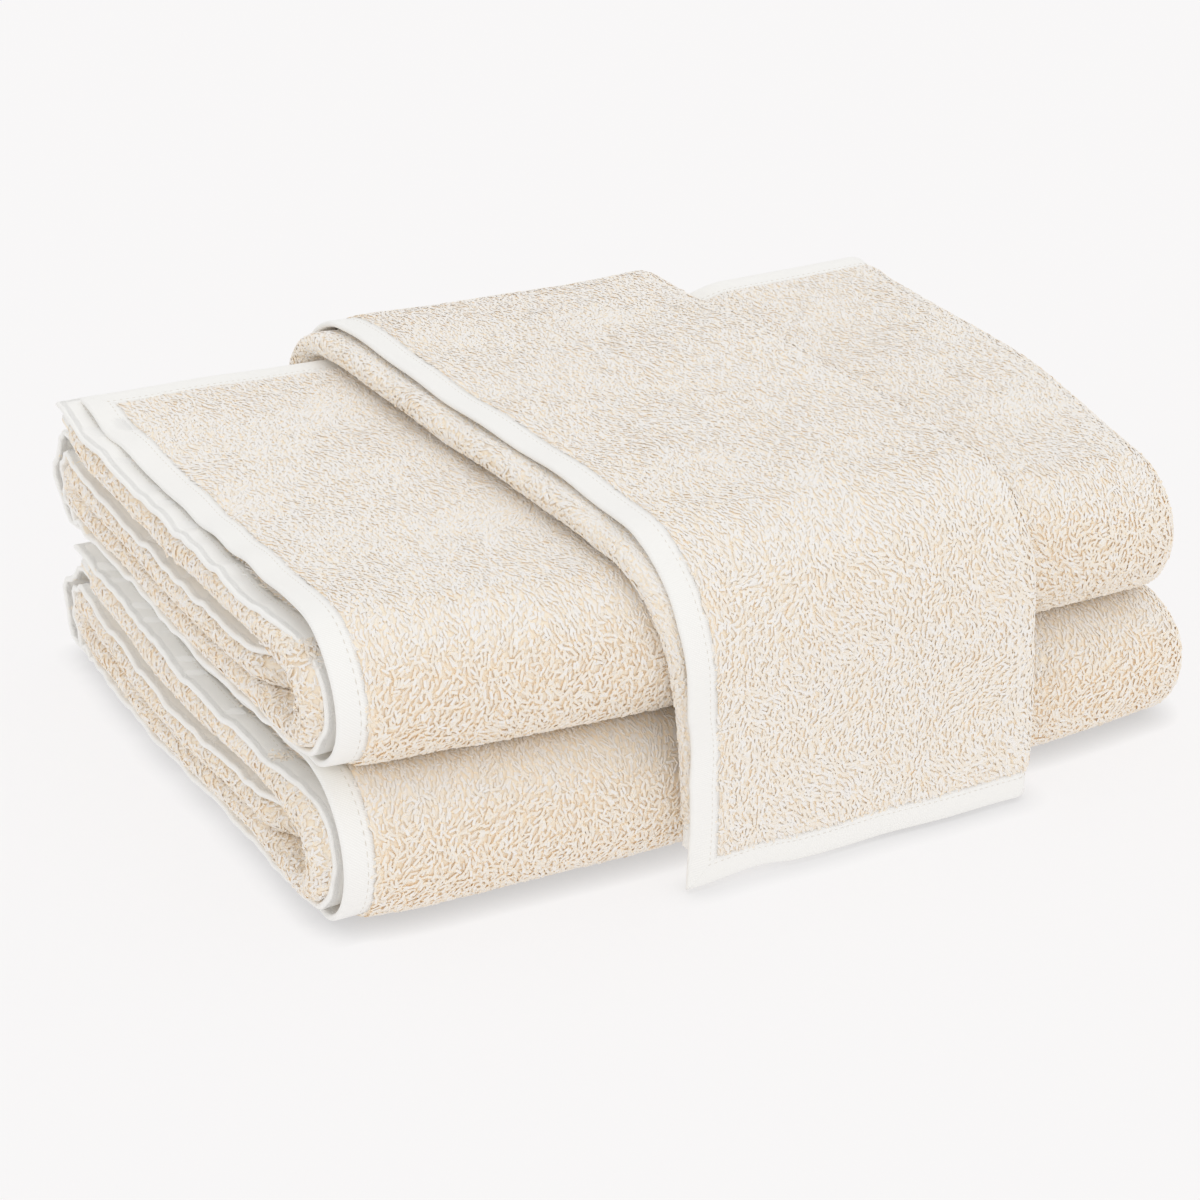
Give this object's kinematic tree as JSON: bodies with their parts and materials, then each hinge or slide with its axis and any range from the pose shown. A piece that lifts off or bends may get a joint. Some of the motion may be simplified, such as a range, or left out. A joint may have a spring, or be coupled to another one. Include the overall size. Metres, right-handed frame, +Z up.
{
  "type": "bath towel set",
  "caption": "Folded terry bath towels in a stack with a narrower hand towel draped over them, edges bound in white woven tape.",
  "frame": {"origin": "centre of the footprint, on the surface that the lower towel lies on", "axes": "+X along the long side of the stack, away from the open ply ends; the rounded folds face -Y; +Z up"},
  "size_m": [0.3738, 0.3024, 0.1361],
  "materials": {
    "terry": "looped cotton pile, matt, warm ivory",
    "tape": "fine twill cotton tape, soft matt white",
    "thread": "white sewing thread"
  },
  "bodies": {
    "lower_bath_towel": {"lower_bath_towel_terry": "terry", "lower_bath_towel_tape_first_end": "tape", "lower_bath_towel_tape_second_end": "tape", "lower_bath_towel_tape_outer_side": "tape", "lower_bath_towel_tape_inner_side": "tape", "lower_bath_towel_seam_first_end": "thread", "lower_bath_towel_seam_second_end": "thread", "lower_bath_towel_seam_outer_side": "thread", "lower_bath_towel_seam_inner_side": "thread"},
    "upper_bath_towel": {"upper_bath_towel_terry": "terry", "upper_bath_towel_tape_first_end": "tape", "upper_bath_towel_tape_second_end": "tape", "upper_bath_towel_tape_outer_side": "tape", "upper_bath_towel_tape_inner_side": "tape", "upper_bath_towel_seam_first_end": "thread", "upper_bath_towel_seam_second_end": "thread", "upper_bath_towel_seam_outer_side": "thread", "upper_bath_towel_seam_inner_side": "thread"},
    "hand_towel": {"hand_towel_terry": "terry", "hand_towel_tape_first_end": "tape", "hand_towel_tape_second_end": "tape", "hand_towel_tape_outer_side": "tape", "hand_towel_tape_inner_side": "tape", "hand_towel_seam_first_end": "thread", "hand_towel_seam_second_end": "thread", "hand_towel_seam_outer_side": "thread", "hand_towel_seam_inner_side": "thread"}
  },
  "joints": [
    {"name": "upper_towel_lift", "type": "slide", "parent": "lower_bath_towel", "child": "upper_bath_towel", "axis": [0, 0, 1], "range_m": [0, 0.1]},
    {"name": "hand_towel_lift", "type": "slide", "parent": "upper_bath_towel", "child": "hand_towel", "axis": [0, 0, 1], "range_m": [0, 0.13]}
  ]
}
